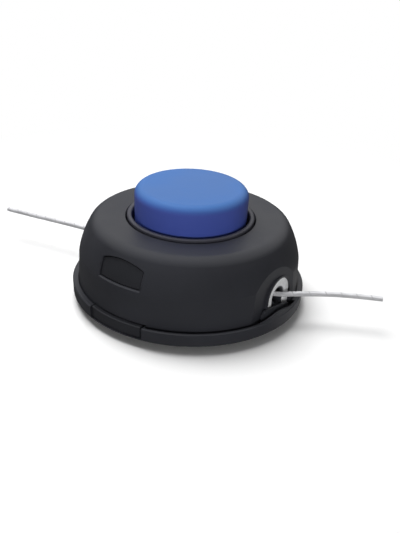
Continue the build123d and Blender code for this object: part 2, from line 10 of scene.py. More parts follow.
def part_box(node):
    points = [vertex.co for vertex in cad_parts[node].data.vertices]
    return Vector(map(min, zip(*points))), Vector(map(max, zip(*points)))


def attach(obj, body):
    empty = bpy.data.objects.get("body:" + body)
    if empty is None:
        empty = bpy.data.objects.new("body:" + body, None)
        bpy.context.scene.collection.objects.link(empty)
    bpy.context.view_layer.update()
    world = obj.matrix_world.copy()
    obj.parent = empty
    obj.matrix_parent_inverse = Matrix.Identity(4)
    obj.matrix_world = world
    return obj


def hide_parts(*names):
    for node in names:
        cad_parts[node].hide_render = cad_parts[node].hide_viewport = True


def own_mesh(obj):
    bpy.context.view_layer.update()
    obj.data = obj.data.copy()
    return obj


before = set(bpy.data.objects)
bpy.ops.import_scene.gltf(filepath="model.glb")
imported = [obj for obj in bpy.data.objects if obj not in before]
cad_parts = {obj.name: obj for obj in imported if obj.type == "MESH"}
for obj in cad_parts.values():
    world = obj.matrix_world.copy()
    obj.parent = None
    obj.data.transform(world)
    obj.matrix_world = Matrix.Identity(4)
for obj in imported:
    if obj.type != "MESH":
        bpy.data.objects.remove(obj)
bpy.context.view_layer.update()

LOG = logging.getLogger("trimmer_head")

Colour = tuple[float, float, float, float]
Point = tuple[float, float, float]
Shelf = dict[str, bpy.types.Material]

WHITE: Colour = (1.0, 1.0, 1.0, 1.0)

# Curve between screen colours and linear ones
SCREEN_KNEE = 0.04045
SCREEN_SLOPE = 12.92
SCREEN_LIFT = 0.055
SCREEN_POWER = 2.4

# Places of the colour sockets on Blender's Mix node
MIX_COLOUR_A = 6
MIX_COLOUR_B = 7
MIX_COLOUR_RESULT = 2

# Smallest distances, in metres, that cuts and welds tell apart
CUT_GAP = 0.0000001
WELD_GAP = 0.000001


class Slot(Enum):
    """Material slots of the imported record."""

    BLACK_PLASTIC = "black_plastic"
    LINE_NYLON = "line_nylon"
    STEEL = "steel"


class Effect(Enum):
    """Shader node groups that several finishes share."""

    MOULD_GRAIN = "mould_grain"
    DRAWN_STREAK = "drawn_streak"


class Body(Enum):
    """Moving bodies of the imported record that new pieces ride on."""

    BASE = "base"


def linear(red: int, green: int, blue: int) -> Colour:
    """Turn a screen colour into the linear values that shaders take.

    Args:
        red: Red from 0 to 255.
        green: Green from 0 to 255.
        blue: Blue from 0 to 255.

    Returns:
        Linear red, green and blue, with full alpha.
    """
    values = []
    for channel in (red, green, blue):
        share = channel / 255
        curved = ((share + SCREEN_LIFT) / (1 + SCREEN_LIFT)) ** SCREEN_POWER
        values.append(share / SCREEN_SLOPE if share <= SCREEN_KNEE else curved)
    return (values[0], values[1], values[2], 1.0)


def scaled(colour: Colour, factor: float) -> Colour:
    """A colour made lighter or darker by a factor."""
    return (colour[0] * factor, colour[1] * factor, colour[2] * factor, 1.0)


def grey(level: float) -> Colour:
    """A neutral colour of one level."""
    return scaled(WHITE, level)


def trim(place: Point, normal: Point) -> None:
    """Cut the mesh in edit mode along a plane, and close it there.

    Args:
        place: A point of the plane.
        normal: The plane's normal, towards the side that is cut away.
    """
    bpy.ops.mesh.select_all(action="SELECT")
    bpy.ops.mesh.bisect(plane_co=place, plane_no=normal, use_fill=True, clear_outer=True, threshold=CUT_GAP)


def weld() -> None:
    """Merge the doubles of the mesh in edit mode and turn its faces outwards."""
    bpy.ops.mesh.select_all(action="SELECT")
    bpy.ops.mesh.remove_doubles(threshold=WELD_GAP)
    bpy.ops.mesh.normals_make_consistent(inside=False)


@dataclass
class NodeSheet:
    """A shader node tree while its nodes are placed and joined."""

    tree: bpy.types.NodeTree

    def add(
        self, kind: str, settings: dict[str, object] | None = None, **feeds: object
    ) -> bpy.types.Node:
        """Place one node and feed its sockets.

        Args:
            kind: Blender's type name of the node.
            settings: Properties of the node itself, by name.
            feeds: Sockets by name with underscores for spaces, each given a value or another node's output.

        Returns:
            The new node.
        """
        node = self.tree.nodes.new(kind)
        for name, value in (settings or {}).items():
            setattr(node, name, value)
        for name, value in feeds.items():
            self.feed(node.inputs[name.replace("_", " ")], value)
        return node

    def feed(self, socket: bpy.types.NodeSocket, value: object) -> None:
        """Set a socket to a plain value, or join it to another node's output.

        Args:
            socket: The socket that takes the value.
            value: A number, colour or vector, or the output socket of another node.
        """
        if isinstance(value, bpy.types.NodeSocket):
            self.tree.links.new(value, socket)
        else:
            socket.default_value = value

    def math(self, operation: str, first: object, second: object = 0.0) -> bpy.types.NodeSocket:
        """Place a Math node.

        Args:
            operation: Blender's name of the operation.
            first: First value or output.
            second: Second value or output.

        Returns:
            The node's output.
        """
        node = self.add("ShaderNodeMath", {"operation": operation})
        self.feed(node.inputs[0], first)
        self.feed(node.inputs[1], second)
        return node.outputs[0]

    def spread(
        self, value: object, low: object, high: object, start: float = 0.0, end: float = 1.0
    ) -> bpy.types.NodeSocket:
        """Map a mask onto a range of values, softly at both ends.

        Args:
            value: The mask.
            low: Result where the mask is at start.
            high: Result where the mask is at end.
            start: Mask value that gives low.
            end: Mask value that gives high.

        Returns:
            The mapped output.
        """
        node = self.add("ShaderNodeMapRange", {"interpolation_type": "SMOOTHSTEP"}, Value=value)
        for name, limit in {"From Min": start, "From Max": end, "To Min": low, "To Max": high}.items():
            self.feed(node.inputs[name], limit)
        return node.outputs["Result"]

    def mix(self, share: object, first: object, second: object) -> bpy.types.NodeSocket:
        """Mix two colours.

        Args:
            share: Share of the second colour.
            first: First colour or output.
            second: Second colour or output.

        Returns:
            The mixed colour.
        """
        node = self.add("ShaderNodeMix", {"data_type": "RGBA"})
        self.feed(node.inputs[0], share)
        self.feed(node.inputs[MIX_COLOUR_A], first)
        self.feed(node.inputs[MIX_COLOUR_B], second)
        return node.outputs[MIX_COLOUR_RESULT]

    def vector(self, operation: str, first: object, second: object) -> bpy.types.NodeSocket:
        """Place a Vector Math node that gives one number.

        Args:
            operation: Blender's name of the operation.
            first: First vector or output.
            second: Second vector or output.

        Returns:
            The number.
        """
        node = self.add("ShaderNodeVectorMath", {"operation": operation})
        self.feed(node.inputs[0], first)
        self.feed(node.inputs[1], second)
        return node.outputs["Value"]

    def noise(self, place: object, scale: object, detail: float) -> bpy.types.NodeSocket:
        """Place a noise texture.

        Args:
            place: Coordinates of the surface.
            scale: Noise scale, per metre.
            detail: Number of finer octaves.

        Returns:
            The noise value.
        """
        return self.add("ShaderNodeTexNoise", Vector=place, Scale=scale, Detail=detail).outputs["Fac"]

    def axis(self, place: object, letter: str) -> bpy.types.NodeSocket:
        """One coordinate of a place, by its letter."""
        return self.add("ShaderNodeSeparateXYZ", Vector=place).outputs[letter]

    def ridges(self, value: object) -> bpy.types.NodeSocket:
        """Fold a running number into ridges, one to each whole step."""
        return self.math("PINGPONG", value, 0.5)


GroupParts = tuple[NodeSheet, dict[str, bpy.types.NodeSocket], bpy.types.Node]
MaterialParts = tuple[bpy.types.Material, NodeSheet, bpy.types.Node]


def new_group(effect: Effect, inputs: dict[str, str], outputs: list[str]) -> GroupParts:
    """Start a shared node group.

    Args:
        effect: The effect that the group gives.
        inputs: Socket types of the group's inputs, by name.
        outputs: Names of the group's value outputs.

    Returns:
        The sheet, the outputs of its input node by name, and its output node.
    """
    tree = bpy.data.node_groups.new(effect.value, "ShaderNodeTree")
    for name, kind in inputs.items():
        tree.interface.new_socket(name, in_out="INPUT", socket_type=kind)
    for name in outputs:
        tree.interface.new_socket(name, in_out="OUTPUT", socket_type="NodeSocketFloat")
    sheet = NodeSheet(tree)
    entry = sheet.add("NodeGroupInput")
    return sheet, {name: entry.outputs[name] for name in inputs}, sheet.add("NodeGroupOutput")


def make_mould_grain() -> None:
    """Build the grain of a spark-eroded mould: a fine height and a slow tone."""
    inputs = {"Place": "NodeSocketVector", "Grain": "NodeSocketFloat", "Patch": "NodeSocketFloat"}
    sheet, entry, result = new_group(Effect.MOULD_GRAIN, inputs, ["Height", "Tone"])
    speck_share, patch_share = 0.2, 0.8
    fine = sheet.noise(entry["Place"], entry["Grain"], detail=3.0)
    slow = sheet.noise(entry["Place"], entry["Patch"], detail=4.0)
    pits = sheet.spread(fine, 0.0, 1.0, start=0.32, end=0.68)
    patches = sheet.spread(slow, 0.0, patch_share, start=0.3, end=0.7)
    speck = sheet.math("MULTIPLY", pits, speck_share)
    sheet.feed(result.inputs["Height"], pits)
    sheet.feed(result.inputs["Tone"], sheet.math("ADD", patches, speck))


def make_drawn_streak() -> None:
    """Build streaks that run along one direction, as on drawn wire and turned metal."""
    inputs = {"Place": "NodeSocketVector", "Stretch": "NodeSocketVector", "Fine": "NodeSocketFloat"}
    sheet, entry, result = new_group(Effect.DRAWN_STREAK, inputs, ["Height", "Tone"])
    pulled = sheet.add("ShaderNodeVectorMath", {"operation": "MULTIPLY"})
    sheet.feed(pulled.inputs[0], entry["Place"])
    sheet.feed(pulled.inputs[1], entry["Stretch"])
    streak_share, cloud_share, cloud_size = 0.6, 0.4, 6.0
    thin = sheet.noise(pulled.outputs[0], entry["Fine"], detail=4.0)
    blotch = sheet.noise(entry["Place"], sheet.math("DIVIDE", entry["Fine"], cloud_size), detail=3.0)
    streak = sheet.spread(thin, 0.0, 1.0, start=0.3, end=0.7)
    cloud = sheet.spread(blotch, 0.0, 1.0, start=0.3, end=0.7)
    streak_tone = sheet.math("MULTIPLY", streak, streak_share)
    cloud_tone = sheet.math("MULTIPLY", cloud, cloud_share)
    sheet.feed(result.inputs["Height"], streak)
    sheet.feed(result.inputs["Tone"], sheet.math("ADD", streak_tone, cloud_tone))


@dataclass(frozen=True)
class Finish:
    """What every finish has: a colour, how much it varies, its gloss and its relief."""

    name: str
    colour: Colour
    tone_low: float = 0.85
    tone_high: float = 1.15
    gloss_low: float = 0.4
    gloss_high: float = 0.5
    relief: float = 0.1
    relief_depth: float = 0.00004

    def material(self) -> bpy.types.Material:
        """Build the finish's material, in the way of its kind."""
        raise NotImplementedError

    def start(self) -> MaterialParts:
        """Start the material.

        Returns:
            The material, its node sheet and its main shader.
        """
        material = bpy.data.materials.new(self.name)
        material.use_nodes = True
        shader = material.node_tree.nodes["Principled BSDF"]
        return material, NodeSheet(material.node_tree), shader

    def dress(self, sheet: NodeSheet, shader: bpy.types.Node, effect: bpy.types.Node) -> bpy.types.Node:
        """Feed the shader's colour, gloss and relief from a shared effect.

        Args:
            sheet: The material's node sheet.
            shader: The material's main shader.
            effect: The group node that gives the tone and the height.

        Returns:
            The bump node that carries the relief.
        """
        tone = effect.outputs["Tone"]
        sheet.feed(shader.inputs["Base Color"], self.paint(sheet, tone))
        sheet.feed(shader.inputs["Roughness"], sheet.spread(tone, self.gloss_low, self.gloss_high))
        bump = sheet.add("ShaderNodeBump", Strength=self.relief, Distance=self.relief_depth)
        sheet.feed(bump.inputs["Height"], effect.outputs["Height"])
        sheet.feed(shader.inputs["Normal"], bump.outputs["Normal"])
        return bump

    def paint(self, sheet: NodeSheet, tone: bpy.types.NodeSocket) -> bpy.types.NodeSocket:
        """The finish's colour: plain, unless a finish says otherwise."""
        return self.tones(sheet, tone, self.colour)

    def tones(self, sheet: NodeSheet, tone: bpy.types.NodeSocket, colour: Colour) -> bpy.types.NodeSocket:
        """Spread a colour from its darkest tone to its lightest.

        Args:
            sheet: The material's node sheet.
            tone: Mask of the tone.
            colour: The colour at its middle tone.

        Returns:
            The varied colour.
        """
        return sheet.mix(tone, scaled(colour, self.tone_low), scaled(colour, self.tone_high))

    def above(self, sheet: NodeSheet, start: float, end: float) -> bpy.types.NodeSocket:
        """Mask of the part of a piece that lies above a height.

        Args:
            sheet: The material's node sheet.
            start: Height, in metres, where the mask begins.
            end: Height where it is full.

        Returns:
            The mask.
        """
        return sheet.spread(sheet.axis(self.place(sheet), "Z"), 0.0, 1.0, start, end)

    @staticmethod
    def place(sheet: NodeSheet) -> bpy.types.NodeSocket:
        """The piece's own coordinates, in metres."""
        return sheet.add("ShaderNodeTexCoord").outputs["Object"]

    def group(self, sheet: NodeSheet, effect: Effect, **feeds: object) -> bpy.types.Node:
        """Place a shared effect on the piece's own coordinates.

        Args:
            sheet: The material's node sheet.
            effect: The effect to place.
            feeds: The effect's other inputs, by name.

        Returns:
            The group node.
        """
        node = sheet.add("ShaderNodeGroup", {"node_tree": bpy.data.node_groups[effect.value]})
        for name, value in {"Place": self.place(sheet), **feeds}.items():
            sheet.feed(node.inputs[name], value)
        return node


@dataclass(frozen=True)
class MouldedPlastic(Finish):
    """Injection-moulded plastic with a fine mould grain."""

    grain: float = 2600.0
    patch: float = 26.0
    reflection: float = 0.45

    def material(self) -> bpy.types.Material:
        """Build the plastic's material.

        Returns:
            The material.
        """
        material, sheet, shader = self.start()
        effect = self.group(sheet, Effect.MOULD_GRAIN, Grain=self.grain, Patch=self.patch)
        self.dress(sheet, shader, effect)
        shader.inputs["Specular IOR Level"].default_value = self.reflection
        return material


@dataclass(frozen=True)
class TopLitPlastic(MouldedPlastic):
    """Moulded plastic with painted light on its upper face: a greener, lighter tint for the light from
    above.
    """

    top_lit_colour: Colour = (0.0, 0.0, 0.0, 1.0)
    top_light_start: float = 0.0
    top_light_end: float = 1.0

    def paint(self, sheet: NodeSheet, tone: bpy.types.NodeSocket) -> bpy.types.NodeSocket:
        """Turn from the plain colour to the painted top-light colour between two heights.

        Args:
            sheet: The material's node sheet.
            tone: Mask of the tone.

        Returns:
            The colour.
        """
        # Painted light: the upper face is tinted greener and lighter, as light from above shows it
        upper = self.above(sheet, self.top_light_start, self.top_light_end)
        return sheet.mix(upper, self.tones(sheet, tone, self.colour), self.tones(sheet, tone, self.top_lit_colour))


@dataclass(frozen=True)
class TurnedMetal(Finish):
    """Metal with fine marks from turning, pressing or drawing."""

    stretch: Point = (1.0, 1.0, 0.08)
    fine: float = 900.0
    bare: float = 1.0

    def build(self) -> MaterialParts:
        """Build the plain metal.

        Returns:
            The material, its node sheet and the bump node of its marks.
        """
        material, sheet, shader = self.start()
        effect = self.group(sheet, Effect.DRAWN_STREAK, Stretch=self.stretch, Fine=self.fine)
        bump = self.dress(sheet, shader, effect)
        shader.inputs["Metallic"].default_value = self.bare
        return material, sheet, bump

    def material(self) -> bpy.types.Material:
        """Build the metal's material."""
        return self.build()[0]


@dataclass(frozen=True)
class HoleShadedMetal(TurnedMetal):
    """Tumbled metal with painted shade round its hole, and fully metallic there."""

    hole_shade: Colour = (0.0, 0.0, 0.0, 1.0)
    hole_height: float = 0.0176
    hole_shade_r: float = 0.0053
    plain_r: float = 0.006

    def paint(self, sheet: NodeSheet, tone: bpy.types.NodeSocket) -> bpy.types.NodeSocket:
        """Darken the colour round the hole, as painted shade.

        Args:
            sheet: The material's node sheet.
            tone: Mask of the tone.

        Returns:
            The colour.
        """
        plain = self.tones(sheet, tone, self.colour)
        # Painted shade: the metal is darker inside and round the hole
        return sheet.mix(self.hole(sheet), plain, self.tones(sheet, tone, self.hole_shade))

    def hole(self, sheet: NodeSheet) -> bpy.types.NodeSocket:
        """Mask of the metal near the hole, whose axis runs along X.

        Args:
            sheet: The material's node sheet.

        Returns:
            The mask.
        """
        place = self.place(sheet)
        along = sheet.axis(place, "X")
        centre = sheet.add("ShaderNodeCombineXYZ", X=along, Z=self.hole_height).outputs[0]
        return sheet.spread(sheet.vector("DISTANCE", place, centre), 1.0, 0.0, self.hole_shade_r, self.plain_r)

    def build(self) -> MaterialParts:
        """Build the tumbled metal, fully metallic near the hole.

        Returns:
            The material, its node sheet and the bump node of its marks.
        """
        material, sheet, bump = super().build()
        shader = material.node_tree.nodes["Principled BSDF"]
        sheet.feed(shader.inputs["Metallic"], sheet.spread(self.hole(sheet), self.bare, 1.0))
        return material, sheet, bump


@dataclass(frozen=True)
class ThreadedSteel(TurnedMetal):
    """Metal with a left-hand screw thread in its bore."""

    pitch: float = 0.00175
    bore_r: float = 0.0052
    thread_depth: float = 0.0008

    def material(self) -> bpy.types.Material:
        """Build the metal's material, with the thread as relief inside the bore.

        Returns:
            The material.
        """
        material, sheet, bump = self.build()
        place = self.place(sheet)
        axes = sheet.add("ShaderNodeSeparateXYZ", Vector=place).outputs
        turn = sheet.math("DIVIDE", sheet.math("ARCTAN2", axes["Y"], axes["X"]), tau)
        climb = sheet.math("ADD", sheet.math("DIVIDE", axes["Z"], self.pitch), turn)
        flank = sheet.ridges(climb)
        centre = sheet.add("ShaderNodeCombineXYZ", Z=axes["Z"]).outputs[0]
        inside = sheet.math("LESS_THAN", sheet.vector("DISTANCE", place, centre), self.bore_r)
        thread = sheet.add("ShaderNodeBump", Strength=1.0, Distance=self.thread_depth)
        sheet.feed(thread.inputs["Height"], sheet.math("MULTIPLY", flank, inside))
        sheet.feed(bump.inputs["Normal"], thread.outputs["Normal"])
        return material


@dataclass(frozen=True)
class Nylon(Finish):
    """Extruded nylon line, cloudy and a little see-through."""

    stretch: Point = (0.12, 0.3, 1.0)
    fine: float = 900.0
    glow: float = 0.25
    glow_spread: Point = (1.0, 1.0, 1.0)
    glow_depth: float = 0.001

    def build(self) -> MaterialParts:
        """Build the plain nylon.

        Returns:
            The material, its node sheet and the bump node of its streaks.
        """
        material, sheet, shader = self.start()
        effect = self.group(sheet, Effect.DRAWN_STREAK, Stretch=self.stretch, Fine=self.fine)
        bump = self.dress(sheet, shader, effect)
        shader.inputs["Subsurface Weight"].default_value = self.glow
        shader.inputs["Subsurface Radius"].default_value = self.glow_spread
        shader.inputs["Subsurface Scale"].default_value = self.glow_depth
        return material, sheet, bump

    def material(self) -> bpy.types.Material:
        """Build the nylon's material."""
        return self.build()[0]


@dataclass(frozen=True)
class UnderShadedNylon(Nylon):
    """Nylon line with painted shade on its lower side, and painted shade in a fine groove that winds round
    it.
    """

    under_shade_tone: float = 0.7
    under_shade_start: float = 0.0182
    under_shade_end: float = 0.0188
    groove_run: float = 0.0066
    groove_width: float = 0.07
    groove_shade_tone: float = 0.6

    def paint(self, sheet: NodeSheet, tone: bpy.types.NodeSocket) -> bpy.types.NodeSocket:
        """Paint shade on the lower side, and paint shade in the groove, which goes once round in each run
        along X.

        Args:
            sheet: The material's node sheet.
            tone: Mask of the tone.

        Returns:
            The colour.
        """
        # Painted shade: the lower side is greyer, as light from above leaves it
        upper = self.above(sheet, self.under_shade_start, self.under_shade_end)
        lower = self.tones(sheet, tone, scaled(self.colour, self.under_shade_tone))
        sides = sheet.mix(upper, lower, self.tones(sheet, tone, self.colour))
        along = sheet.math("ABSOLUTE", sheet.axis(self.place(sheet), "X"))
        around = sheet.axis(sheet.add("ShaderNodeTexCoord").outputs["UV"], "Y")
        runs = sheet.math("DIVIDE", along, self.groove_run)
        climb = sheet.ridges(sheet.math("SUBTRACT", runs, around))
        # Painted shade in the groove, which has no relief of its own
        groove = sheet.spread(climb, 1.0, 0.0, end=self.groove_width)
        return sheet.mix(groove, sides, scaled(self.colour, self.groove_shade_tone))


@dataclass(frozen=True)
class WoundNylon(Nylon):
    """Nylon line wound turn beside turn."""

    turn_width: float = 0.0027
    turn_depth: float = 0.0011

    def material(self) -> bpy.types.Material:
        """Build the nylon's material, with the turns as relief along the spin axis.

        Returns:
            The material.
        """
        material, sheet, bump = self.build()
        height = sheet.axis(self.place(sheet), "Z")
        across = sheet.ridges(sheet.math("DIVIDE", height, self.turn_width))
        turns = sheet.add("ShaderNodeBump", Strength=1.0, Distance=self.turn_depth)
        sheet.feed(turns.inputs["Height"], sheet.math("SQRT", across))
        sheet.feed(bump.inputs["Normal"], turns.outputs["Normal"])
        return material


BLACK_PLASTIC = MouldedPlastic("black_plastic", linear(43, 44, 49), gloss_low=0.42, gloss_high=0.54)
# A darker copy of the black plastic for the latch tabs: painted shade for their recessed pads
LATCH_PLASTIC = MouldedPlastic("latch_plastic", linear(37, 38, 42), gloss_low=0.42, gloss_high=0.54)
GREY_PLASTIC = MouldedPlastic("grey_plastic", linear(58, 58, 66))
# The knob's upper face carries a painted top-light tint
BLUE_PLASTIC = TopLitPlastic(
    "blue_plastic",
    linear(68, 85, 166),
    tone_low=0.93,
    tone_high=1.06,
    top_lit_colour=linear(61, 105, 167),
    top_light_start=0.0575,
    top_light_end=0.0618,
)
# The eyelets carry painted shade round their holes
EYELET_METAL = HoleShadedMetal(
    "eyelet_metal",
    linear(248, 249, 250),
    tone_low=0.72,
    tone_high=1.06,
    gloss_low=0.4,
    gloss_high=0.58,
    fine=2200.0,
    bare=0.12,
    hole_shade=linear(176, 178, 184),
)
BEARING_STEEL = TurnedMetal("bearing_steel", linear(190, 191, 194), gloss_low=0.14, gloss_high=0.24)
SPRING_STEEL = TurnedMetal("spring_steel", linear(132, 133, 138), gloss_low=0.28, gloss_high=0.42)
ZINC_STEEL = TurnedMetal("zinc_steel", linear(178, 180, 184), gloss_low=0.25, gloss_high=0.4)
NUT_STEEL = ThreadedSteel("nut_steel", linear(178, 180, 184), gloss_low=0.25, gloss_high=0.4)
# The line ends carry painted shade on their lower side and in their groove
LINE_NYLON = UnderShadedNylon(
    "line_nylon", linear(222, 222, 225), tone_low=0.8, tone_high=1.1, fine=700.0, relief=0.35
)
WOUND_NYLON = WoundNylon("wound_nylon", linear(214, 214, 217), tone_low=0.8, tone_high=1.05, gloss_low=0.3)


@dataclass
class PhotoView:
    """Camera at the photograph's place."""

    place: Point = (0.2118, -0.2915, 0.2026)
    forward: Point = (-0.5093, 0.7268, -0.4608)
    roll_deg: float = 2.91
    lens_mm: float = 50.24
    sensor_mm: float = 36.0
    nearest: float = 0.01

    def build(self) -> bpy.types.Object:
        """Place the camera and make it the scene's.

        Returns:
            The camera.
        """
        data = bpy.data.cameras.new("photo_camera")
        data.lens = self.lens_mm
        data.sensor_width = self.sensor_mm
        data.clip_start = self.nearest
        camera = bpy.data.objects.new("photo_camera", data)
        bpy.context.scene.collection.objects.link(camera)
        forward = Vector(self.forward).normalized()
        level = forward.cross(Vector((0, 0, 1))).normalized()
        upright = level.cross(forward)
        roll = radians(self.roll_deg)
        right = level * cos(roll) + upright * sin(roll)
        up = upright * cos(roll) - level * sin(roll)
        turn = Matrix((right, up, -forward)).transposed().to_4x4()
        camera.matrix_world = Matrix.Translation(self.place) @ turn
        bpy.context.scene.camera = camera
        return camera


@dataclass
class Lamp:
    """One soft lamp of the studio."""

    name: str
    place: Point
    width: float
    depth: float
    watts: float
    target: Point = (0.0, 0.0, 0.02)

    def build(self) -> None:
        """Hang the lamp, turn it to the object and keep its own picture off the gloss."""
        data = bpy.data.lights.new(self.name, "AREA")
        data.shape = "RECTANGLE"
        data.size = self.width
        data.size_y = self.depth
        data.energy = self.watts
        lamp = bpy.data.objects.new(self.name, data)
        lamp.location = self.place
        aim = Vector(self.target) - Vector(self.place)
        lamp.rotation_euler = aim.to_track_quat("-Z", "Y").to_euler()
        lamp.visible_glossy = False
        bpy.context.scene.collection.objects.link(lamp)


@dataclass
class Studio:
    """White floor, white surroundings and soft lamps."""

    floor_side: float = 8.0
    shadow_reach: float = 0.13
    shadow_end: float = 0.3
    floor_paint: float = 0.92
    floor_bounce: float = 0.35
    floor_gloss: float = 0.11
    card: float = 0.45
    card_place: Point = (0.092, 0.042, 0.0)
    card_reach: float = 0.035
    card_end: float = 0.06
    sky_side: Point = (-0.15, 0.21, 0.97)
    sky_low: float = 0.27
    sky_high: float = 0.62
    sky_dark: float = 0.04
    sky_light: float = 0.9
    ambient: float = 0.12
    lamps: list[Lamp] = field(
        default_factory=lambda: [
            Lamp("overhead_lamp", (-0.35, 0.1, 0.98), 0.7, 0.7, 14.5),
            Lamp("front_lamp", (0.65, -0.9, 0.1), 0.5, 0.3, 7.4),
        ]
    )

    def build(self) -> None:
        """Build the floor, the surroundings and the lamps."""
        self.build_floor()
        self.build_world()
        for lamp in self.lamps:
            lamp.build()
            LOG.info("lamp %s", lamp.name)
        bpy.context.scene.view_settings.view_transform = "Standard"

    def build_floor(self) -> None:
        """Lay the floor: it takes the shadow near the object and is plain white further out.

        Gloss shows a quieter floor, with one light card beside the right eyelet.
        """
        bpy.ops.object.select_all(action="DESELECT")
        bpy.ops.mesh.primitive_plane_add(size=self.floor_side)
        floor = bpy.context.object
        floor.name = "studio_floor"
        material = bpy.data.materials.new("studio_floor")
        material.use_nodes = True
        sheet = NodeSheet(material.node_tree)
        sheet.tree.nodes.clear()
        place = sheet.add("ShaderNodeTexCoord").outputs["Object"]
        path = sheet.add("ShaderNodeLightPath").outputs
        from_middle = sheet.vector("DISTANCE", place, (0, 0, 0))
        far = sheet.spread(from_middle, 0.0, 1.0, self.shadow_reach, self.shadow_end)
        from_card = sheet.vector("DISTANCE", place, self.card_place)
        card = sheet.spread(from_card, self.card, self.floor_gloss, self.card_reach, self.card_end)
        paint = sheet.mix(path["Is Camera Ray"], grey(self.floor_bounce), grey(self.floor_paint))
        matt = sheet.add("ShaderNodeBsdfDiffuse", Color=paint)
        strength = sheet.math("MAXIMUM", path["Is Camera Ray"], card)
        white = sheet.add("ShaderNodeEmission", Color=WHITE, Strength=strength)
        seen_far = sheet.math("MULTIPLY", far, path["Is Camera Ray"])
        plain = sheet.math("MAXIMUM", seen_far, self.mirrored(sheet, path))
        surface = sheet.add("ShaderNodeMixShader", Fac=plain)
        sheet.feed(surface.inputs[1], matt.outputs[0])
        sheet.feed(surface.inputs[2], white.outputs[0])
        # From below, the floor is left out, so that the underside can be seen
        below = sheet.add("ShaderNodeNewGeometry").outputs["Backfacing"]
        one_sided = sheet.add("ShaderNodeMixShader", Fac=below)
        sheet.feed(one_sided.inputs[1], surface.outputs[0])
        sheet.feed(one_sided.inputs[2], sheet.add("ShaderNodeBsdfTransparent").outputs[0])
        output = sheet.add("ShaderNodeOutputMaterial")
        sheet.feed(output.inputs["Surface"], one_sided.outputs[0])
        floor.data.materials.append(material)

    def build_world(self) -> None:
        """Surround the scene with white: plain to the camera, brightest overhead in gloss, dim as light."""
        world = bpy.data.worlds.new("studio")
        world.use_nodes = True
        bpy.context.scene.world = world
        sheet = NodeSheet(world.node_tree)
        background = world.node_tree.nodes["Background"]
        background.inputs["Color"].default_value = WHITE
        heading = sheet.add("ShaderNodeTexCoord").outputs["Generated"]
        upward = sheet.vector("DOT_PRODUCT", heading, self.sky_side)
        sky = sheet.spread(upward, self.sky_dark, self.sky_light, self.sky_low, self.sky_high)
        path = sheet.add("ShaderNodeLightPath").outputs
        light = sheet.spread(self.mirrored(sheet, path), self.ambient, sky)
        sheet.feed(background.inputs["Strength"], sheet.math("MAXIMUM", light, path["Is Camera Ray"]))

    @staticmethod
    def mirrored(sheet: NodeSheet, path: bpy.types.NodeOutputs) -> bpy.types.NodeSocket:
        """Mask of what is seen in gloss or through glass."""
        return sheet.math("MAXIMUM", path["Is Glossy Ray"], path["Is Transmission Ray"])


@dataclass
class CuttingLine:
    """One free end of the cutting line, on the route of its solid."""

    name: str
    node: str
    route: list[tuple[float, float]]
    mouth: Point
    length: float
    height: float = 0.0176
    diameter: float = 0.0027
    round_steps: int = 5
    run_steps: int = 16

    def build(self, finish: bpy.types.Material) -> bpy.types.Object:
        """Args:
            finish: The line's material.

        Returns:
            The line.
        """
        data = bpy.data.curves.new(self.name, "CURVE")
        data.dimensions = "3D"
        data.bevel_depth = self.diameter / 2
        data.bevel_resolution = self.round_steps
        data.resolution_u = self.run_steps
        data.use_fill_caps = True
        spline = data.splines.new("NURBS")
        spline.points.add(len(self.route) - 1)
        for point, (x, y) in zip(spline.points, self.route):
            point.co = (x, y, self.height, 1.0)
        # Set before the points, the order would leave straight runs
        spline.order_u = 3
        spline.use_endpoint_u = True
        line = bpy.data.objects.new(self.name, data)
        bpy.context.scene.collection.objects.link(line)
        data.materials.append(finish)
        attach(line, Body.BASE.value)
        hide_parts(self.node)
        return line


@dataclass
class SubAssembly:
    """Solids of the head that are fitted together, each with its finish."""

    solids: dict[str, Finish]

    def build(self, shelf: Shelf) -> None:
        """Build the pieces that the solids don't have: none, unless a sub-assembly adds them."""

    def dress(self, shelf: Shelf) -> None:
        """Give every solid its finish.

        Args:
            shelf: The materials, by the name of their finish.
        """
        for node, finish in self.solids.items():
            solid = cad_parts[node]
            solid.data.materials.clear()
            solid.data.materials.append(shelf[finish.name])
            LOG.info("%s: %s in %s", type(self).__name__, node, finish.name)


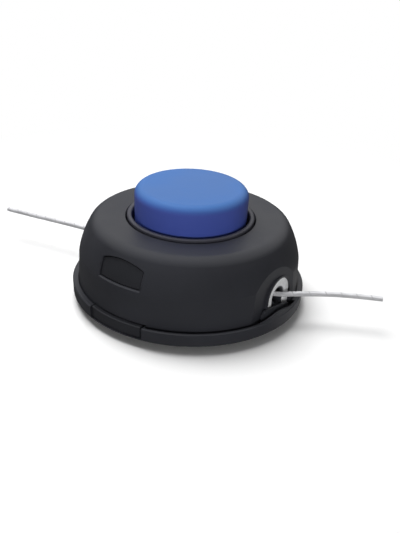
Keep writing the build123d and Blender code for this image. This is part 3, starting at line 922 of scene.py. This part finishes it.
@dataclass
class EyeletLips:
    """Low arched lips that close the foot of the scoop in front of each eyelet."""

    names: tuple[str, str] = ("eyelet_lip_right", "eyelet_lip_left")
    inner_r: float = 0.0579
    outer_r: float = 0.0591
    foot: float = 0.0082
    blank_top: float = 0.0165
    crest: float = 0.0153
    crest_place: float = -0.0105
    arch_r: float = 0.042
    start_deg: float = -15.0
    sweep_deg: float = 23.0
    steps: int = 24
    facets: int = 6
    facet_run: float = 0.004
    end_place: Point = (0.0, -0.0136, 0.0147)
    end_normal: Point = (0.0, -0.8, 0.6)
    edge: float = 0.0003
    edge_steps: int = 3
    smooth_deg: float = 30.0

    def build(self, finish: bpy.types.Material) -> list[bpy.types.Object]:
        """Model the right lip, and copy it by half a turn to the left.

        Args:
            finish: The lips' material.

        Returns:
            Both lips.
        """
        right = self.model()
        right.data.materials.append(finish)
        bpy.ops.object.duplicate()
        left = bpy.context.object
        bpy.ops.object.mode_set(mode="EDIT")
        bpy.ops.mesh.select_all(action="SELECT")
        bpy.ops.transform.rotate(value=radians(180), orient_axis="Z", center_override=(0, 0, 0))
        bpy.ops.object.mode_set(mode="OBJECT")
        for lip, name in zip((right, left), self.names):
            lip.name = name
            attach(lip, Body.BASE.value)
        return [right, left]

    def model(self) -> bpy.types.Object:
        """Spin an upright blank round the spin axis, trim its top to an arch and round its edges.

        Returns:
            The lip.
        """
        start = radians(self.start_deg)
        middle_r = (self.inner_r + self.outer_r) / 2
        bpy.ops.object.select_all(action="DESELECT")
        bpy.ops.mesh.primitive_plane_add(
            size=1.0,
            location=(middle_r * cos(start), middle_r * sin(start), (self.foot + self.blank_top) / 2),
            rotation=(radians(90), 0, start),
        )
        lip = bpy.context.object
        lip.scale = (self.outer_r - self.inner_r, self.blank_top - self.foot, 1.0)
        bpy.ops.object.transform_apply(location=True, rotation=True, scale=True)
        bpy.ops.object.mode_set(mode="EDIT")
        bpy.ops.mesh.select_all(action="SELECT")
        # Spin turns clockwise round an axis that points up, and the lip runs the other way
        bpy.ops.mesh.spin(
            steps=self.steps, angle=radians(self.sweep_deg), center=(0, 0, 0), axis=(0, 0, -1)
        )
        trim(self.end_place, self.end_normal)
        for facet in range(self.facets):
            away = facet * self.facet_run
            level = self.crest - away * away / (2 * self.arch_r)
            trim((0, self.crest_place + away, level), (0, away / self.arch_r, 1))
        weld()
        bpy.ops.object.mode_set(mode="OBJECT")
        bpy.ops.object.modifier_add(type="BEVEL")
        rounding = lip.modifiers[-1]
        rounding.width = self.edge
        rounding.segments = self.edge_steps
        rounding.limit_method = "ANGLE"
        bpy.ops.object.modifier_apply(modifier=rounding.name)
        bpy.ops.object.shade_smooth_by_angle(angle=radians(self.smooth_deg))
        return lip


@dataclass
class HeadShell(SubAssembly):
    """Base with its ring, and the domed cover that the latches hold."""

    solids: dict[str, Finish] = field(
        default_factory=lambda: {
            "base_housing": BLACK_PLASTIC,
            "cover": BLACK_PLASTIC,
            "latch_tab_front": LATCH_PLASTIC,
            "latch_tab_rear": LATCH_PLASTIC,
        }
    )
    lips: EyeletLips = field(default_factory=EyeletLips)

    def build(self, shelf: Shelf) -> None:
        """Add the lip in front of each eyelet.

        Args:
            shelf: The materials, by the name of their finish.
        """
        for lip in self.lips.build(shelf[BLACK_PLASTIC.name]):
            LOG.info("lip %s", lip.name)


@dataclass
class ReturnSpring:
    """Compression spring with ground ends, which the tap shortens."""

    node: str = "spring"
    name: str = "return_spring"
    coil_r: float = 0.018
    wire_r: float = 0.0009
    wire_sides: int = 14
    turns: int = 5
    travel: float = 0.005
    steps: int = 56
    smooth_deg: float = 40.0

    def build(self, finish: bpy.types.Material) -> bpy.types.Object:
        """Wind a ring of wire up the spin axis and grind both ends flat.

        Args:
            finish: The spring's material.

        Returns:
            The spring.
        """
        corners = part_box(self.node)
        low, high = corners[0][2], corners[1][2]
        bpy.ops.object.select_all(action="DESELECT")
        bpy.ops.mesh.primitive_circle_add(
            vertices=self.wire_sides,
            radius=self.wire_r,
            location=(self.coil_r, 0, low),
            rotation=(radians(90), 0, 0),
        )
        spring = bpy.context.object
        spring.name = self.name
        bpy.ops.object.transform_apply(location=True, rotation=True, scale=True)
        bpy.ops.object.modifier_add(type="SCREW")
        screw = spring.modifiers[-1]
        screw.steps = self.steps
        screw.render_steps = self.steps
        screw.iterations = self.turns
        screw.screw_offset = (high - low) / self.turns
        screw.use_smooth_shade = True
        bpy.ops.object.modifier_apply(modifier=screw.name)
        bpy.ops.object.mode_set(mode="EDIT")
        bpy.ops.mesh.select_all(action="SELECT")
        bpy.ops.mesh.fill_holes(sides=0)
        trim((0, 0, low), (0, 0, -1))
        trim((0, 0, high), (0, 0, 1))
        weld()
        bpy.ops.object.mode_set(mode="OBJECT")
        bpy.ops.object.shade_smooth_by_angle(angle=radians(self.smooth_deg))
        spring.data.materials.append(finish)
        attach(spring, Body.BASE.value)
        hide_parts(self.node)
        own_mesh(spring)
        return spring


@dataclass
class DriveHub(SubAssembly):
    """Threaded nut of the drive shaft, and the spring that lifts the spool."""

    solids: dict[str, Finish] = field(
        default_factory=lambda: {
            "drive_nut": NUT_STEEL,
            "spring": SPRING_STEEL,
            "thrust_washer": ZINC_STEEL,
        }
    )
    spring: ReturnSpring = field(default_factory=ReturnSpring)

    def build(self, shelf: Shelf) -> None:
        """Wind the spring.

        Args:
            shelf: The materials, by the name of their finish.
        """
        LOG.info("spring %s", self.spring.build(shelf[SPRING_STEEL.name]).name)


@dataclass
class LineSpool(SubAssembly):
    """Spool with its two wound chambers."""

    solids: dict[str, Finish] = field(
        default_factory=lambda: {
            "spool": GREY_PLASTIC,
            "line_winding_lower": WOUND_NYLON,
            "line_winding_upper": WOUND_NYLON,
        }
    )


@dataclass
class TapKnob(SubAssembly):
    """Knob on its ball bearing, with the screw and bush that hold it to the spool."""

    solids: dict[str, Finish] = field(
        default_factory=lambda: {
            "tap_knob": BLUE_PLASTIC,
            "knob_screw": ZINC_STEEL,
            "screw_washer": ZINC_STEEL,
            "bearing_bush": ZINC_STEEL,
            "bearing_inner_ring": BEARING_STEEL,
            "bearing_outer_ring": BEARING_STEEL,
            "bearing_balls": BEARING_STEEL,
            "bearing_cage": ZINC_STEEL,
            "bearing_shield_upper": BEARING_STEEL,
            "bearing_shield_lower": BEARING_STEEL,
            "circlip": SPRING_STEEL,
        }
    )


@dataclass
class LineEyelets(SubAssembly):
    """Metal eyelets, and the two ends of the line that leave through them."""

    solids: dict[str, Finish] = field(
        default_factory=lambda: {
            "eyelet_right": EYELET_METAL,
            "eyelet_left": EYELET_METAL,
            "line_right": LINE_NYLON,
            "line_left": LINE_NYLON,
        }
    )
    lines: list[CuttingLine] = field(
        default_factory=lambda: [
            CuttingLine(
                "cutting_line_right",
                "line_right",
                [(0.0472, -0.0013), (0.0544, 0.0009), (0.0644, 0.0106), (0.0810, 0.0240), (0.0989, 0.0331)],
                (0.0564, 0.0025, 0.0176),
                0.0618,
            ),
            CuttingLine(
                "cutting_line_left",
                "line_left",
                [
                    (-0.0476, -0.0006),
                    (-0.0545, -0.00255),
                    (-0.0676, -0.0040),
                    (-0.0885, -0.0080),
                    (-0.1090, -0.0126),
                    (-0.1272, -0.0161),
                ],
                (-0.0564, -0.0028, 0.0176),
                0.0811,
            ),
        ]
    )

    def build(self, shelf: Shelf) -> None:
        """Draw both ends of the line.

        Args:
            shelf: The materials, by the name of their finish.
        """
        for line in self.lines:
            line.build(shelf[LINE_NYLON.name])
            LOG.info("line %s", line.name)


FINISHES: list[Finish] = [
    BLACK_PLASTIC,
    LATCH_PLASTIC,
    GREY_PLASTIC,
    BLUE_PLASTIC,
    EYELET_METAL,
    BEARING_STEEL,
    SPRING_STEEL,
    ZINC_STEEL,
    NUT_STEEL,
    LINE_NYLON,
    WOUND_NYLON,
]


def main() -> None:
    """Build the finishes, the view, the head and the studio in order."""
    logging.basicConfig(level=logging.INFO, format="%(message)s")
    make_mould_grain()
    make_drawn_streak()
    shelf = {finish.name: finish.material() for finish in FINISHES}
    PhotoView().build()
    for group in (HeadShell(), DriveHub(), LineSpool(), TapKnob(), LineEyelets()):
        group.build(shelf)
        group.dress(shelf)
    Studio().build()


if __name__ == "__main__":
    main()
